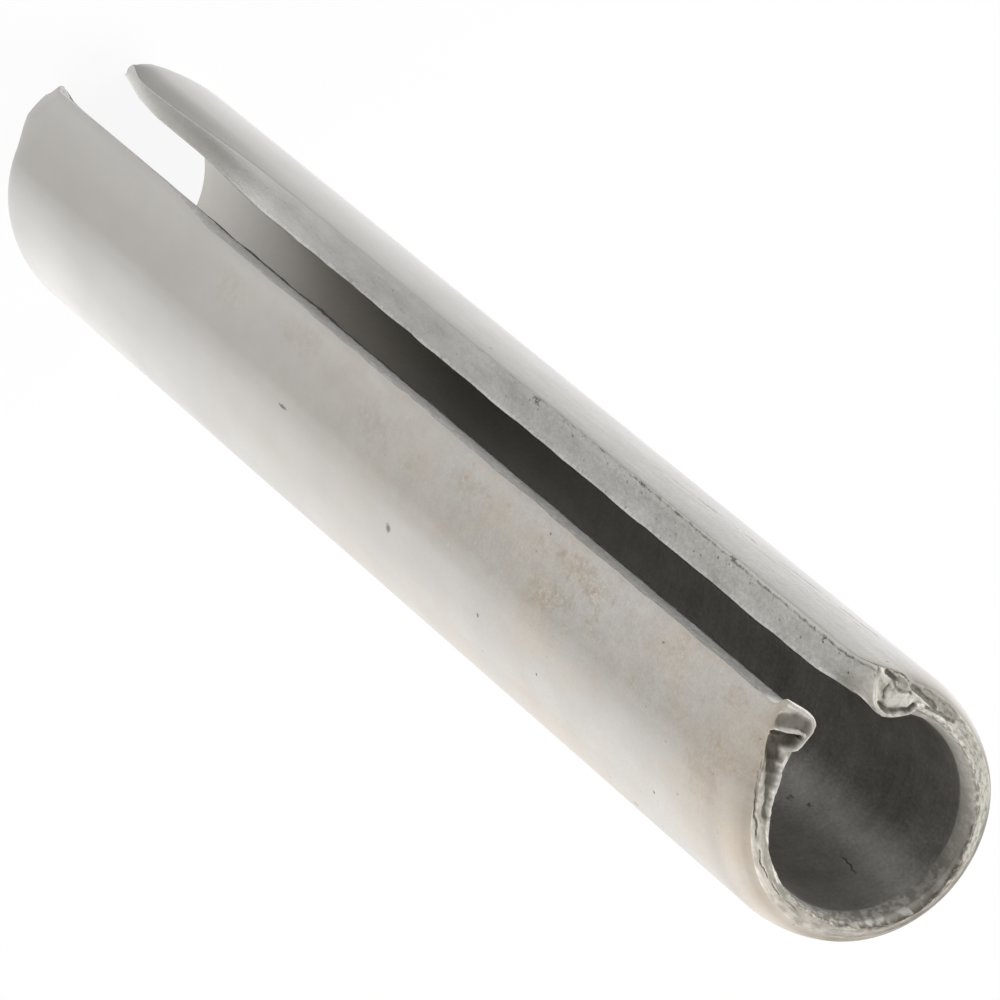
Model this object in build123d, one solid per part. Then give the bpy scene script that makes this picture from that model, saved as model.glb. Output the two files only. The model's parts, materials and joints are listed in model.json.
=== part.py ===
from build123d import *
import math
import os

# A slotted spring pin: one strip of spring steel rolled into a C. All sizes are in millimetres, unloaded.
# It stands on its plain end. Z runs along it, +Z is the end with the upset lips, and the slot faces -Y.
# The origin is on the roll's axis, halfway along.
# It is drawn lying on its back, with X along the pin and the slot facing up, and is stood up last.

# The rolled strip.
pin_length = 32.0
body_radius = 2.27
wall = 0.59

# The last stretch of strip at each side of the slot stays flat, because the rolls can't grip it.
flat_start_deg = 42.3
lip_length = 1.05

# Each end is drawn in by a rounded taper, and its mouth opens by a slight bevel.
swage_length = 1.10
swage_drop = 0.27
mouth_depth = 0.45
mouth_width = 0.08
rim_round = 0.05

# The corners where an end meets the slot, rounded in the plane of the lip.
plain_corner = 0.16
folded_corner = 0.30
worn_corner = 0.50

# At the plain end the taper tool has also drawn in the lips, to a round bar's end.
drawn_lip_radius = 2.14
drawn_lip_length = 1.00

# At the other end it has upset them into rounded lumps. One is folded in and set back.
lump_along_pin = 0.56
lump_thickness = 0.64
lump_round = 0.20
lump_proud_of_end = 0.03
upright_lump_along_lip = 0.62
upright_lump_setback = 0.02
folded_lump_along_lip = 0.74
folded_lump_setback = 0.17
folded_lump_sunk = 0.05

# What follows from them.
half_length = pin_length / 2
bore_radius = body_radius - wall
rolled_deg = 360 - 2 * flat_start_deg
lip_reach = math.hypot(body_radius, lip_length)


def wall_profile():
    """The wall cut lengthwise, drawn with X along the pin and Y out from the roll's axis."""
    taper_radius = (swage_length**2 + swage_drop**2) / (2 * swage_drop)
    half_turn = math.asin(swage_length / taper_radius) / 2
    body_x = half_length - swage_length
    mid_x = body_x + taper_radius * math.sin(half_turn)
    mid_y = body_radius - taper_radius * (1 - math.cos(half_turn))
    rim_y = body_radius - swage_drop
    mouth_x = half_length - mouth_depth
    mouth_y = bore_radius + mouth_width
    outline = [
        Line((-body_x, body_radius), (body_x, body_radius)),
        ThreePointArc((body_x, body_radius), (mid_x, mid_y), (half_length, rim_y)),
        Line((half_length, rim_y), (half_length, mouth_y)),
        Line((half_length, mouth_y), (mouth_x, bore_radius)),
        Line((mouth_x, bore_radius), (-mouth_x, bore_radius)),
        Line((-mouth_x, bore_radius), (-half_length, mouth_y)),
        Line((-half_length, mouth_y), (-half_length, rim_y)),
        ThreePointArc((-half_length, rim_y), (-mid_x, mid_y), (-body_x, body_radius)),
    ]
    profile = make_face(outline)
    end_corners = profile.vertices().filter_by(lambda corner: abs(corner.X) > half_length - 1e-6)
    return fillet(end_corners, rim_round)


def rolled_wall():
    """The strip that follows the roll, from the flat start on the +Y side round to the other."""
    start = Rot(X=90 - flat_start_deg) * wall_profile()
    return revolve(start, Axis.X, -rolled_deg)


def drawn_in_bar():
    """A round bar about the X axis that clears the lips, and is drawn in at the -X end to trim them there."""
    clear = lip_reach + wall
    outline = Polyline(
        (-half_length - wall, 0),
        (-half_length - wall, drawn_lip_radius),
        (-half_length, drawn_lip_radius),
        (-half_length + drawn_lip_length, lip_reach),
        (-half_length + drawn_lip_length, clear),
        (half_length + wall, clear),
        (half_length + wall, 0),
        close=True,
    )
    return revolve(make_face(outline), Axis.X)


def lip_plate(corner_minus_x, corner_plus_x):
    """A flat lip that stands up from Z = 0, with its two free corners rounded."""
    plate = extrude(wall_profile(), lip_length, dir=(0, 0, 1))
    outline = Pos(0, lip_length / 2) * Rectangle(pin_length, lip_length)
    free_corners = outline.vertices().filter_by(lambda corner: corner.Y > lip_length / 2)
    minus_x, plus_x = free_corners.sort_by(Axis.X)
    outline = fillet(minus_x, corner_minus_x)
    plus_x = outline.vertices().filter_by(lambda corner: corner.Y > lip_length / 2).sort_by(Axis.X)[-1]
    outline = fillet(plus_x, corner_plus_x)
    return plate & extrude(Plane.XZ * outline, 2 * body_radius, both=True)


def upset_lump(along_lip, setback, sunk):
    """The upset end of a lip, where the plate that stands up from Z = 0 has it."""
    lump = Box(lump_along_pin, lump_thickness, along_lip)
    lump = fillet(lump.edges(), lump_round)
    middle_x = half_length + lump_proud_of_end - lump_along_pin / 2
    middle_z = lip_length - setback - along_lip / 2
    return Pos(middle_x, bore_radius + wall / 2 - sunk, middle_z) * lump


def beside_slot(solid, side):
    """Lean a lip that stands up from Z = 0 onto its flat start: side 1 is +Y, side -1 is -Y."""
    if side < 0:
        solid = mirror(solid, Plane.XZ)
    return Rot(X=side * (90 - flat_start_deg)) * solid


lips = beside_slot(lip_plate(worn_corner, folded_corner), 1)
lips += beside_slot(lip_plate(plain_corner, plain_corner), -1)
lips = lips & drawn_in_bar()

pin = rolled_wall() + lips
pin += beside_slot(upset_lump(folded_lump_along_lip, folded_lump_setback, folded_lump_sunk), 1)
pin += beside_slot(upset_lump(upright_lump_along_lip, upright_lump_setback, 0), -1)

# Stood on its plain end, the drawn X axis points along +Z and the drawn Z axis along -Y.
stance = Plane(origin=(0, 0, 0), x_dir=(0, 0, 1), z_dir=(0, -1, 0))
pin = stance * pin

os.makedirs("parts", exist_ok=True)
export_step(pin, "parts/spring_pin.step")
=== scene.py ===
# %% [markdown]
# # A slotted spring pin
# A spring pin is a strip of spring steel that rolls have bent into a C. It is driven into a
# plain drilled hole that is a little too small for it, and the slot lets it close up and grip.
# This one stands on its plain end. Its other end, the one that points up, was hit hard by the
# tool that tapers the ends, and both lips there are upset and folded.
#
# The lesson models the pin as one closed mesh, gives each kind of surface its own finish, and
# lights it softly on a white floor.

# %% The frame
import json
import math

import bpy
import numpy as np
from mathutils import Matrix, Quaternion, Vector


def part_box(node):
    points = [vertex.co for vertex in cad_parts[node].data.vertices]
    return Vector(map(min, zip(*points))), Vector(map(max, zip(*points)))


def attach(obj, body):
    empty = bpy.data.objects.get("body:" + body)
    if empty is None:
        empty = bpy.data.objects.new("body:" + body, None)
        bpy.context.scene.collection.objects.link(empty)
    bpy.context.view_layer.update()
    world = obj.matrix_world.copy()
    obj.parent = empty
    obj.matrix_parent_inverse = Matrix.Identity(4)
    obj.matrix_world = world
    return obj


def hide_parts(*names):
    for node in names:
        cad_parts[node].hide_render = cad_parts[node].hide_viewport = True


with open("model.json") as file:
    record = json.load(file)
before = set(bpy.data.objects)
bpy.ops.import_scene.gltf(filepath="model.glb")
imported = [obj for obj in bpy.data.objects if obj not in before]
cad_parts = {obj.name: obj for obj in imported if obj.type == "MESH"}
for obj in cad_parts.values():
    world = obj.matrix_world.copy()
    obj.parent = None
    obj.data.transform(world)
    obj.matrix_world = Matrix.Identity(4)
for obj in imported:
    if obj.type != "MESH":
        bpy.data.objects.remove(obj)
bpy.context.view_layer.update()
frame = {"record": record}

MM = 0.001
PIN = "spring_pin"
low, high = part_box(PIN)
print("the pin fills", [round(x / MM, 2) for x in high - low], "mm")

# %% [markdown]
# ## The camera
# The photograph looks down into the upset end with a long lens. A camera is placed by where it
# aims, from which side and how high it looks, how far off it stands and how it is rolled. These
# five are easier to correct one at a time than a position and a rotation are. The roll is large
# because the photograph shows the pin lying, and here it stands.

# %% Camera
aim = Vector((-0.303, 0.514, 0.356)) * MM
azimuth, elevation, roll = (math.radians(angle) for angle in (26.241, 59.184, 130.193))
camera_distance = 187.96 * MM
focal_length, sensor_width = 410.53, 36.0

towards_camera = Vector((
    math.sin(azimuth) * math.cos(elevation),
    -math.cos(azimuth) * math.cos(elevation),
    math.sin(elevation),
))
camera = bpy.data.objects.new("camera", bpy.data.cameras.new("camera"))
camera.data.sensor_width = sensor_width
camera.data.lens = focal_length
camera.data.clip_start = 0.01
camera.location = aim + camera_distance * towards_camera
upright = towards_camera.to_track_quat("Z", "Y")
camera.rotation_mode = "QUATERNION"
camera.rotation_quaternion = upright @ Quaternion((0, 0, 1), roll)
bpy.context.scene.collection.objects.link(camera)
bpy.context.scene.camera = camera
print("the camera stands", round(camera.location.length, 3), "m from the middle of the pin")

# %% [markdown]
# ## Shader maths as expressions
# A material is a graph of nodes. Written out, a sum of two masks takes four lines. The class
# below wraps one output of a node, so that `1 - mask * 0.5` adds the Math nodes by itself. Every
# other kind of node comes from `node`, which takes its type, its settings and its inputs.


# %% A wire in a node tree
class Wire:
    """One output in a node tree, which can stand in a sum or feed another node."""

    def __init__(self, tree, socket=None):
        self.tree, self.socket = tree, socket

    def node(self, kind, settings, sockets, output=0):
        """Add a node, set it up, feed its inputs, and return one of its outputs as a wire."""
        node = self.tree.nodes.new(kind)
        for name, value in settings.items():
            if name == "stops":
                set_stops(node.color_ramp, value)
            else:
                setattr(node, name, value)
        for name, value in sockets.items():
            if isinstance(value, Wire):
                self.tree.links.new(value.socket, node.inputs[name])
            else:
                node.inputs[name].default_value = value
        if len(node.outputs):
            return Wire(self.tree, node.outputs[output])

    def other(self, output):
        """Another output of the node that this wire comes from."""
        return Wire(self.tree, self.socket.node.outputs[output])

    def maths(self, operation, first, second=0.0):
        """A Math node in this wire's tree, on two wires or numbers."""
        return self.node("ShaderNodeMath", {"operation": operation}, {0: first, 1: second})

    def __add__(self, other):
        return self.maths("ADD", self, other)

    def __sub__(self, other):
        return self.maths("SUBTRACT", self, other)

    def __mul__(self, other):
        return self.maths("MULTIPLY", self, other)

    def __truediv__(self, other):
        return self.maths("DIVIDE", self, other)

    def __rsub__(self, other):
        return self.maths("SUBTRACT", other, self)

    __radd__, __rmul__ = __add__, __mul__

    def scaled(self, x, y, z, shift=0.0):
        """This vector or colour with its three parts multiplied, and moved for another pattern."""
        sockets = {0: self, 1: (x, y, z), 2: (shift, shift, shift)}
        return self.node("ShaderNodeVectorMath", {"operation": "MULTIPLY_ADD"}, sockets)

    def absolute(self):
        """The size of this value without its sign."""
        return self.maths("ABSOLUTE", self)

    def parts(self):
        """The three parts of a vector or colour, as values."""
        first = self.node("ShaderNodeSeparateXYZ", {}, {0: self})
        return first, first.other("Y"), first.other("Z")

    def ramp(self, start, end):
        """0 at start, 1 at end, and a smooth step between them."""
        sockets = {"Value": self, "From Min": start, "From Max": end}
        return self.node("ShaderNodeMapRange", {"interpolation_type": "SMOOTHSTEP"}, sockets)

    def graded(self, stops, low=0.0, high=1.0):
        """A value read off a curve of (place, value) stops, with places from low to high."""
        stops = [((place - low) / (high - low), value) for place, value in stops]
        part = (self - low) * (1 / (high - low))
        return self.node("ShaderNodeValToRGB", {"stops": stops}, {0: part})

    def noise(self, detail=3.0, roughness=0.55, distortion=0.0):
        """Cloudy noise around 0.5."""
        sockets = {"Vector": self, "Scale": 1.0, "Detail": detail, "Roughness": roughness}
        return self.node("ShaderNodeTexNoise", {}, sockets | {"Distortion": distortion})

    def cloudy(self, x, y, z, shift=0.0, **look):
        """Cloudy noise around 0 over this vector, with its three parts multiplied."""
        return self.scaled(x, y, z, shift).noise(**look) - 0.5

    def specks(self, size, share, space="3D"):
        """1 inside small spots, one in each unit cell, of which only a share is kept."""
        sockets = {"Vector": self, "Scale": 1.0}
        near = self.node("ShaderNodeTexVoronoi", {"voronoi_dimensions": space}, sockets)
        chance, spread, _ = near.other("Color").parts()
        kept = chance.ramp(1 - share, 1 - share + 0.02)
        return (near / (spread * 0.7 + 0.3)).ramp(size, size * 0.6) * kept

    def mixed(self, first, second):
        """The first colour where this mask is 0, the second where it is 1."""
        return self.node("ShaderNodeMix", {"data_type": "RGBA"}, {0: self, 6: first, 7: second}, output=2)


def set_stops(colour_ramp, stops):
    """Give a colour ramp its stops, each a place and a grey."""
    elements = colour_ramp.elements
    while len(elements) < len(stops):
        elements.new(0.5)
    for element, (place, grey) in zip(elements, stops):
        element.position = place
        element.color = (grey, grey, grey, 1)


def new_tree(block):
    """An empty node tree of a material or the world, as a wire to start from."""
    block.use_nodes = True
    block.node_tree.nodes.clear()
    return Wire(block.node_tree)


# %% [markdown]
# ## Floor and surroundings
# The photograph was taken in white surroundings, so bright steel shows white wherever it
# reflects them at a flat angle, which is what makes both of its outlines fade away. Here the
# world and the floor are white for the camera and in reflections. Everything else sees a plain
# grey-white world and a plain white card, so that the pin's soft shadow stays on the floor.

# %% Floor and world
bpy.context.scene.view_settings.view_transform = "Standard"
WHITE = (1.0, 1.0, 1.0, 1.0)
world_light = 0.5
floor_colour = (0.90, 0.90, 0.90, 1.0)
floor_glow = 0.92
floor_half_width = 1.5


def seen_as_background(tree):
    """1 for rays from the camera and for those that metal or glass sends on, else 0."""
    from_camera = tree.node("ShaderNodeLightPath", {}, {}, output="Is Camera Ray")
    reflected, passed = from_camera.other("Is Glossy Ray"), from_camera.other("Is Transmission Ray")
    return tree.maths("MINIMUM", from_camera + reflected + passed, 1.0)


world = bpy.data.worlds.new("white_surroundings")
bpy.context.scene.world = world
tree = new_tree(world)
strength = world_light + seen_as_background(tree) * (1 - world_light)
background = tree.node("ShaderNodeBackground", {}, {"Color": WHITE, "Strength": strength})
tree.node("ShaderNodeOutputWorld", {}, {"Surface": background})

floor_mesh = bpy.data.meshes.new("floor")
corner_signs = ((-1, -1), (1, -1), (1, 1), (-1, 1))
corners = [(x * floor_half_width, y * floor_half_width, low.z) for x, y in corner_signs]
floor_mesh.from_pydata(corners, [], [(0, 1, 2, 3)])
floor = bpy.data.objects.new("floor", floor_mesh)
bpy.context.scene.collection.objects.link(floor)

paper = bpy.data.materials.new("white_paper")
tree = new_tree(paper)
lit = tree.node("ShaderNodeBsdfDiffuse", {}, {"Color": floor_colour})
glow = tree.node("ShaderNodeEmission", {}, {"Color": WHITE, "Strength": 1.0})
share = seen_as_background(tree) * floor_glow
surface = tree.node("ShaderNodeMixShader", {}, {0: share, 1: lit, 2: glow})
tree.node("ShaderNodeOutputMaterial", {}, {"Surface": surface})
floor_mesh.materials.append(paper)
print("the floor lies", round(low.z / MM, 2), "mm from the pin's middle")

# %% [markdown]
# ## Softboxes
# Two long softboxes stand low at the sides, as in a light tent, and a third looks down from
# behind. Rough metal spreads their reflections round its sides, so that the steel is darkest
# where it faces the camera and grows brighter towards both outlines. The power of a lamp says
# little about the light that arrives, so each is given by how bright it alone would make a
# white card that faces it.


# %% Softboxes
def softbox(name, azimuth_deg, elevation_deg, distance, width, height, card_brightness):
    """A rectangular lamp that looks at the pin from one side, with its azimuth from -Y towards +X."""
    lamp = bpy.data.lights.new(name, "AREA")
    lamp.shape = "RECTANGLE"
    lamp.size, lamp.size_y = width, height
    lamp.energy = card_brightness * math.pi**2 * distance**2
    side, lift = math.radians(azimuth_deg), math.radians(elevation_deg)
    outwards = Vector((math.sin(side) * math.cos(lift), -math.cos(side) * math.cos(lift), math.sin(lift)))
    stand = bpy.data.objects.new(name, lamp)
    stand.location = outwards * distance
    stand.rotation_euler = outwards.to_track_quat("Z", "Y").to_euler()
    bpy.context.scene.collection.objects.link(stand)


softbox("softbox_left", 112, 8, 0.40, 0.24, 0.09, 1.1)
softbox("softbox_right", -78, 8, 0.40, 0.22, 0.09, 0.9)
softbox("softbox_behind", -135, 35, 0.45, 0.24, 0.18, 0.45)
print("lamps:", [lamp.name for lamp in bpy.data.lights])

# %% [markdown]
# ## The strip, before it is rolled
# The pin's whole surface is the surface of a long flat slab: the strip. So the mesh is made as
# that slab, in three strip coordinates, and then rolled. `across` is measured along the outer
# skin from the middle of the pin's back, `depth` from the outer skin inwards, and `along` up
# the pin. One function turns these into the place of a point, and every detail is a small
# change to that function. The strip coordinates also stay on the mesh for the finishes, because
# grain and scratches follow the strip.

# %% Sizes of the strip, in millimetres
foot, top = low.z / MM, -low.z / MM
radius = high.y / MM
bore = frame["record"]["mounts"][0]["dims"]["r_mm"]
wall = radius - bore
flat_start = math.radians(42.3)
lip_length = 1.05
roll_half = radius * (math.pi - flat_start)
strip_half = roll_half + lip_length
edge_round = 0.035
print("the strip is", round(2 * strip_half, 2), "mm wide and", round(wall, 2), "mm thick")

# %% [markdown]
# ## Lines of the mesh
# The slab's grid is coarse along the straight body and fine near the upset end, where folds of
# a tenth of a millimetre have to show. Each edge of the slab gets a few lines close together,
# for its rounding. The two densities meet at one height, where each coarse face takes the fine
# points of its upper side as extra corners. So the mesh stays closed and nothing is joined by eye.

# %% Grid lines
round_lines = [0.0, 0.3 * edge_round, edge_round]
near_zone = 1.5
fine_from = roll_half - 0.9
steps = {
    "lip": 0.10, "roll": 0.155, "depth": 0.14, "body": 0.27, "foot": 0.10,
    "fine_lip": 0.020, "fine_roll": 0.045, "fine_depth": 0.020, "fine_side": 0.052, "fine_top": 0.022,
}


def spaced(start, end, step):
    """Even places from start to end, about a step apart, with both ends."""
    return list(np.linspace(start, end, max(1, round(abs(end - start) / step)) + 1))


def finer(places, step_at):
    """The same places with more between them, none further apart than step_at allows."""
    result = [places[0]]
    for before, after in zip(places, places[1:]):
        count = max(1, math.ceil((after - before) / step_at((before + after) / 2) - 0.01))
        result += list(np.linspace(before, after, count + 1))[1:]
    return result


half = spaced(0, roll_half, steps["roll"])
half += spaced(roll_half, strip_half - edge_round, steps["lip"])[1:]
half += [strip_half - inset for inset in reversed(round_lines[:-1])]
across_lines = [-place for place in reversed(half[1:])] + half
depth_lines = round_lines + spaced(edge_round, wall - edge_round, steps["depth"])[1:-1]
depth_lines += [wall - inset for inset in reversed(round_lines)]
fine_across = finer(across_lines, lambda q: steps["fine_lip" if abs(q) > fine_from else "fine_roll"])
fine_depth = finer(depth_lines, lambda depth: steps["fine_depth"])
body_rows = [foot + inset for inset in round_lines]
body_rows += spaced(foot + edge_round, foot + 2 * near_zone, steps["foot"])[1:]
body_rows += spaced(foot + 2 * near_zone, top - near_zone, steps["body"])[1:]
top_rows = spaced(top - near_zone, top - 0.3 * near_zone, steps["fine_side"])
top_rows += spaced(top - 0.3 * near_zone, top - edge_round, steps["fine_top"])[1:]
top_rows += [top - inset for inset in reversed(round_lines[:-1])]
print("grid:", len(across_lines), "by", len(body_rows), "and", len(fine_across), "by", len(top_rows))

# %% [markdown]
# ## Noise
# Tumbled and sheared steel is uneven at every scale. Smooth noise is worked out on a lattice of
# random numbers from a fixed seed, so that each run gives the same pin.


# %% Smooth noise
lattice_cells = 64


def lattice_noise(seed, *coordinates):
    """Smooth noise from -1 to 1 over one, two or three coordinates, with features one unit wide."""
    shape = (lattice_cells,) * len(coordinates)
    lattice = np.random.default_rng(seed).uniform(-1, 1, shape)
    cells = [np.floor(values).astype(int) for values in coordinates]
    parts = [values - cell for values, cell in zip(coordinates, cells)]
    weights = [part * part * (3 - 2 * part) for part in parts]
    total = 0.0
    for corner in np.ndindex(*(2,) * len(coordinates)):
        share = 1.0
        for weight, upper in zip(weights, corner):
            share = share * (weight if upper else 1 - weight)
        place_in_lattice = tuple((cell + upper) % lattice_cells for cell, upper in zip(cells, corner))
        total = total + share * lattice[place_in_lattice]
    return total


def smooth_step(values, start, end):
    """0 at start, 1 at end, with no kink."""
    part = np.clip((values - start) / (end - start), 0, 1)
    return part * part * (3 - 2 * part)


def hump(values, middle, half_width):
    """1 at the middle, 0 further off than half_width, with no kink."""
    return smooth_step(np.abs(values - middle), half_width, 0)


# %% [markdown]
# ## The drawn-in ends and the open mouths
# A taper tool is pressed over each end, so that the pin finds its hole. It leaves a rounded
# taper outside, and it opens the mouth's edge by a slight bevel.

# %% Ends
swage_length, swage_drop = 1.10, 0.27
mouth_depth, mouth_width = 0.45, 0.08
swage_radius = (swage_length**2 + swage_drop**2) / (2 * swage_drop)


def taper(from_end):
    """How far the outside is drawn in, at a distance from the end."""
    inside = np.clip(swage_length - from_end, 0, swage_length)
    return swage_radius - np.sqrt(swage_radius**2 - inside**2)


def bevel(from_end):
    """1 at the end and 0 where the mouth's bevel starts."""
    return np.clip(1 - from_end / mouth_depth, 0, 1)


print("each end is drawn in by", swage_drop, "mm over", swage_length, "mm")

# %% [markdown]
# ## The outline of the upset end
# Seen along the pin, the upset end isn't a plain ring: the taper dies out on the upright lip,
# both lips are swollen inwards and the folded one outwards too. An outline is a curve of how far
# out its edge lies against the place along the strip. That place is measured from where the lip's
# flat starts, towards the slot, so it is negative on the roll.

# %% Outlines of the upset end: (place past the start of the flat, distance out from the axis)
plain_end = radius - swage_drop
plain_mouth = bore + mouth_width
upright_outline = {
    "outer": [(-1.3, plain_end), (-0.58, 2.02), (-0.10, 2.07), (0.13, 2.11), (0.36, 2.18), (0.53, 2.22),
              (0.69, 2.27)],
    "inner": [(-0.6, plain_mouth), (0.0, 1.80), (0.12, 1.83), (0.26, 1.91), (0.50, 1.90), (0.57, 1.76),
              (0.74, 1.71), (0.92, 1.66), (1.05, 1.68)],
}
folded_outline = {
    "outer": [(-1.5, plain_end), (-0.86, 2.06), (-0.54, 2.12), (-0.11, 2.20), (0.21, 2.24), (0.44, 2.32),
              (0.97, 2.35)],
    "inner": [(-1.1, plain_mouth), (-0.5, 1.80), (0.0, 1.82), (0.07, 1.78), (0.14, 1.71), (0.29, 1.64),
              (0.42, 1.60), (0.55, 1.583)],
}
# How far each lip reaches here on its skin, how much less it does inside, and how much less still
# at its rounded inner edge.
upright_reach, folded_reach = (1.23, 0.06, 0.13), (0.95, 0.15, 0.25)

# The tips of the lips at the foot, which the taper tool bent in.
upright_foot = [(-0.10, plain_end), (0.20, 2.06), (0.50, 2.11), (0.74, 2.08), (0.86, 2.00), (0.97, 1.88),
                (1.10, 1.68)]
folded_foot = [(-0.90, plain_end), (-0.40, 2.06), (-0.06, 2.14), (0.17, 2.14), (0.36, 2.08), (0.54, 1.94)]
bent_in, bent_out = 0.10, 0.12

# How far the folded lip's skin is worn round there, and over what length.
worn_round, worn_round_length = 0.15, 8.0


def along_outline(place, outline):
    """Read an outline at places past the start of the flat."""
    places, distances = zip(*outline)
    return np.interp(place, places, distances)


def by_side(side, lip, upright, folded):
    """Read the upright lip's outline where side is 1, and the folded lip's where it is -1."""
    return np.where(side > 0, along_outline(lip, upright), along_outline(lip, folded))


print("the lips reach", upright_reach[0], "and", folded_reach[0], "mm at the top,", lip_length, "below")

# %% [markdown]
# ## Folds and cracks of the upset end
# The taper tool pushed the ends of the two lips down into themselves. Seen from above, each is
# a small lump with ridges, a deep fold and cracks. They are drawn as lines on the end face, each
# a few points with a width, a height and a mark: -1 for what is painted dark, as grime and as
# painted shade in the folds, 1 for what is painted bright, as rubbed steel and as painted highlight
# on the ridges. X and Y are the part's own, in millimetres: the upright lip is at positive X and the
# folded one at negative X. A little noise bends the lines, because no tear is straight.

# %% Lines on the upset end
upright_lip_lines = [
    # The hollow face of the lip's cap, its rounded upper edge, its lower edge, and the fold under it.
    ([(0.84, -2.24), (0.66, -2.15), (0.56, -2.00)], 0.100, -0.045, -0.55),
    ([(0.60, -2.40), (0.48, -2.23), (0.38, -2.07), (0.39, -1.93)], 0.036, 0.025, 0.7),
    ([(0.93, -2.13), (0.81, -2.05), (0.69, -1.99), (0.60, -1.87)], 0.032, 0.050, 0.6),
    ([(1.00, -2.09), (0.84, -1.98), (0.75, -1.91), (0.67, -1.86)], 0.034, -0.100, -0.95),
    ([(1.04, -2.00), (0.93, -1.93), (0.80, -1.87)], 0.085, -0.090, -0.95),
    ([(1.05, -1.96), (1.12, -1.74)], 0.115, -0.090, -0.95),
    ([(1.12, -1.78), (1.22, -1.57)], 0.088, -0.080, -0.85),
    ([(1.20, -1.61), (1.33, -1.37)], 0.068, -0.060, -0.65),
    ([(1.31, -1.41), (1.47, -1.13), (1.58, -0.90)], 0.054, -0.045, -0.50),
    # The thin crack between the skin and the end, which runs on round the pin.
    ([(1.02, -2.18), (1.12, -1.97), (1.24, -1.77), (1.37, -1.60)], 0.018, -0.040, -0.5),
    ([(1.37, -1.60), (1.56, -1.30), (1.70, -1.00), (1.82, -0.66)], 0.014, -0.030, -0.4),
    ([(1.86, -0.44), (1.90, -0.20), (1.89, 0.06)], 0.008, -0.020, -0.4),
    ([(1.86, 0.20), (1.80, 0.45)], 0.008, -0.020, -0.4),
    ([(1.72, 0.60), (1.64, 0.82)], 0.008, -0.020, -0.4),
    # The burr from the tip round to the mouth.
    ([(0.39, -1.93), (0.45, -1.86), (0.55, -1.79)], 0.030, 0.035, 0.7),
    ([(0.55, -1.79), (0.68, -1.745), (0.84, -1.73), (0.97, -1.66), (1.19, -1.42), (1.32, -1.24)],
     0.048, 0.040, 0.9),
    ([(1.32, -1.24), (1.46, -1.04), (1.58, -0.78), (1.67, -0.50), (1.73, -0.15), (1.74, 0.20)],
     0.036, 0.030, 0.8),
]
folded_lip_lines = [
    # The rim of the lip, which is rolled in towards the bore, and the groove inside it.
    ([(-0.88, -2.24), (-0.75, -2.16), (-0.67, -1.98), (-0.63, -1.83), (-0.63, -1.66)], 0.034, 0.035, 0.5),
    ([(-0.63, -1.66), (-0.70, -1.54), (-0.90, -1.43), (-1.05, -1.38), (-1.16, -1.39)], 0.032, 0.040, 0.6),
    ([(-0.68, -1.78), (-0.70, -1.68), (-0.78, -1.60), (-0.93, -1.53), (-1.06, -1.46), (-1.20, -1.46)],
     0.026, -0.060, -0.5),
    # The tab in the middle, and the crack beside it.
    ([(-0.86, -1.76), (-1.00, -1.69), (-1.12, -1.58)], 0.095, 0.035, 0.35),
    ([(-0.96, -1.98), (-0.83, -1.92), (-0.79, -1.83)], 0.010, -0.040, -0.5),
    # The bulb above it, the pocket beside the bulb and the cracks round it.
    ([(-1.08, -1.98), (-1.16, -1.90), (-1.19, -1.78)], 0.075, 0.025, -0.3),
    ([(-0.97, -2.19), (-1.02, -2.11), (-1.06, -2.03)], 0.036, -0.050, -0.75),
    ([(-1.04, -2.02), (-1.04, -1.88), (-1.12, -1.76), (-1.22, -1.68)], 0.020, -0.035, -0.35),
    ([(-1.08, -2.14), (-1.20, -1.99), (-1.27, -1.87)], 0.012, -0.030, -0.4),
    # The torn, dull face beside it, its crevices, and the ridge inside it.
    ([(-1.36, -1.80), (-1.50, -1.56), (-1.62, -1.30), (-1.74, -0.98)], 0.110, -0.020, -0.35),
    ([(-1.29, -1.74), (-1.35, -1.60), (-1.43, -1.44), (-1.50, -1.27)], 0.044, -0.050, -0.55),
    ([(-1.37, -1.31), (-1.50, -1.20), (-1.61, -1.02), (-1.70, -0.88)], 0.028, -0.035, -0.45),
    ([(-1.54, -1.50), (-1.62, -1.30)], 0.022, -0.025, -0.4),
    ([(-1.22, -1.43), (-1.30, -1.38), (-1.37, -1.22), (-1.47, -1.09), (-1.56, -0.96)], 0.030, 0.040, 0.2),
    ([(-1.56, -0.96), (-1.62, -0.80), (-1.69, -0.54), (-1.74, -0.20), (-1.76, 0.10)], 0.020, 0.012, 0.35),
    ([(-1.80, -0.80), (-1.86, -0.40), (-1.88, 0.00)], 0.060, -0.006, -0.12),
]
line_softness = 0.50
fold_height = 0.35
wide_bend, fine_bend = 0.022, 0.008
print("lines on the upset lips:", len(upright_lip_lines), "and", len(folded_lip_lines))


def line_mask(x, y, points, width):
    """1 on a line, and 0 past its width."""
    nearest = np.full(x.shape, np.inf)
    for (x0, y0), (x1, y1) in zip(points, points[1:]):
        dx, dy = x1 - x0, y1 - y0
        part = np.clip(((x - x0) * dx + (y - y0) * dy) / (dx * dx + dy * dy), 0, 1)
        nearest = np.minimum(nearest, np.hypot(x - x0 - part * dx, y - y0 - part * dy))
    return smooth_step(nearest, width * (1 + line_softness), width * (1 - line_softness))


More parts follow.
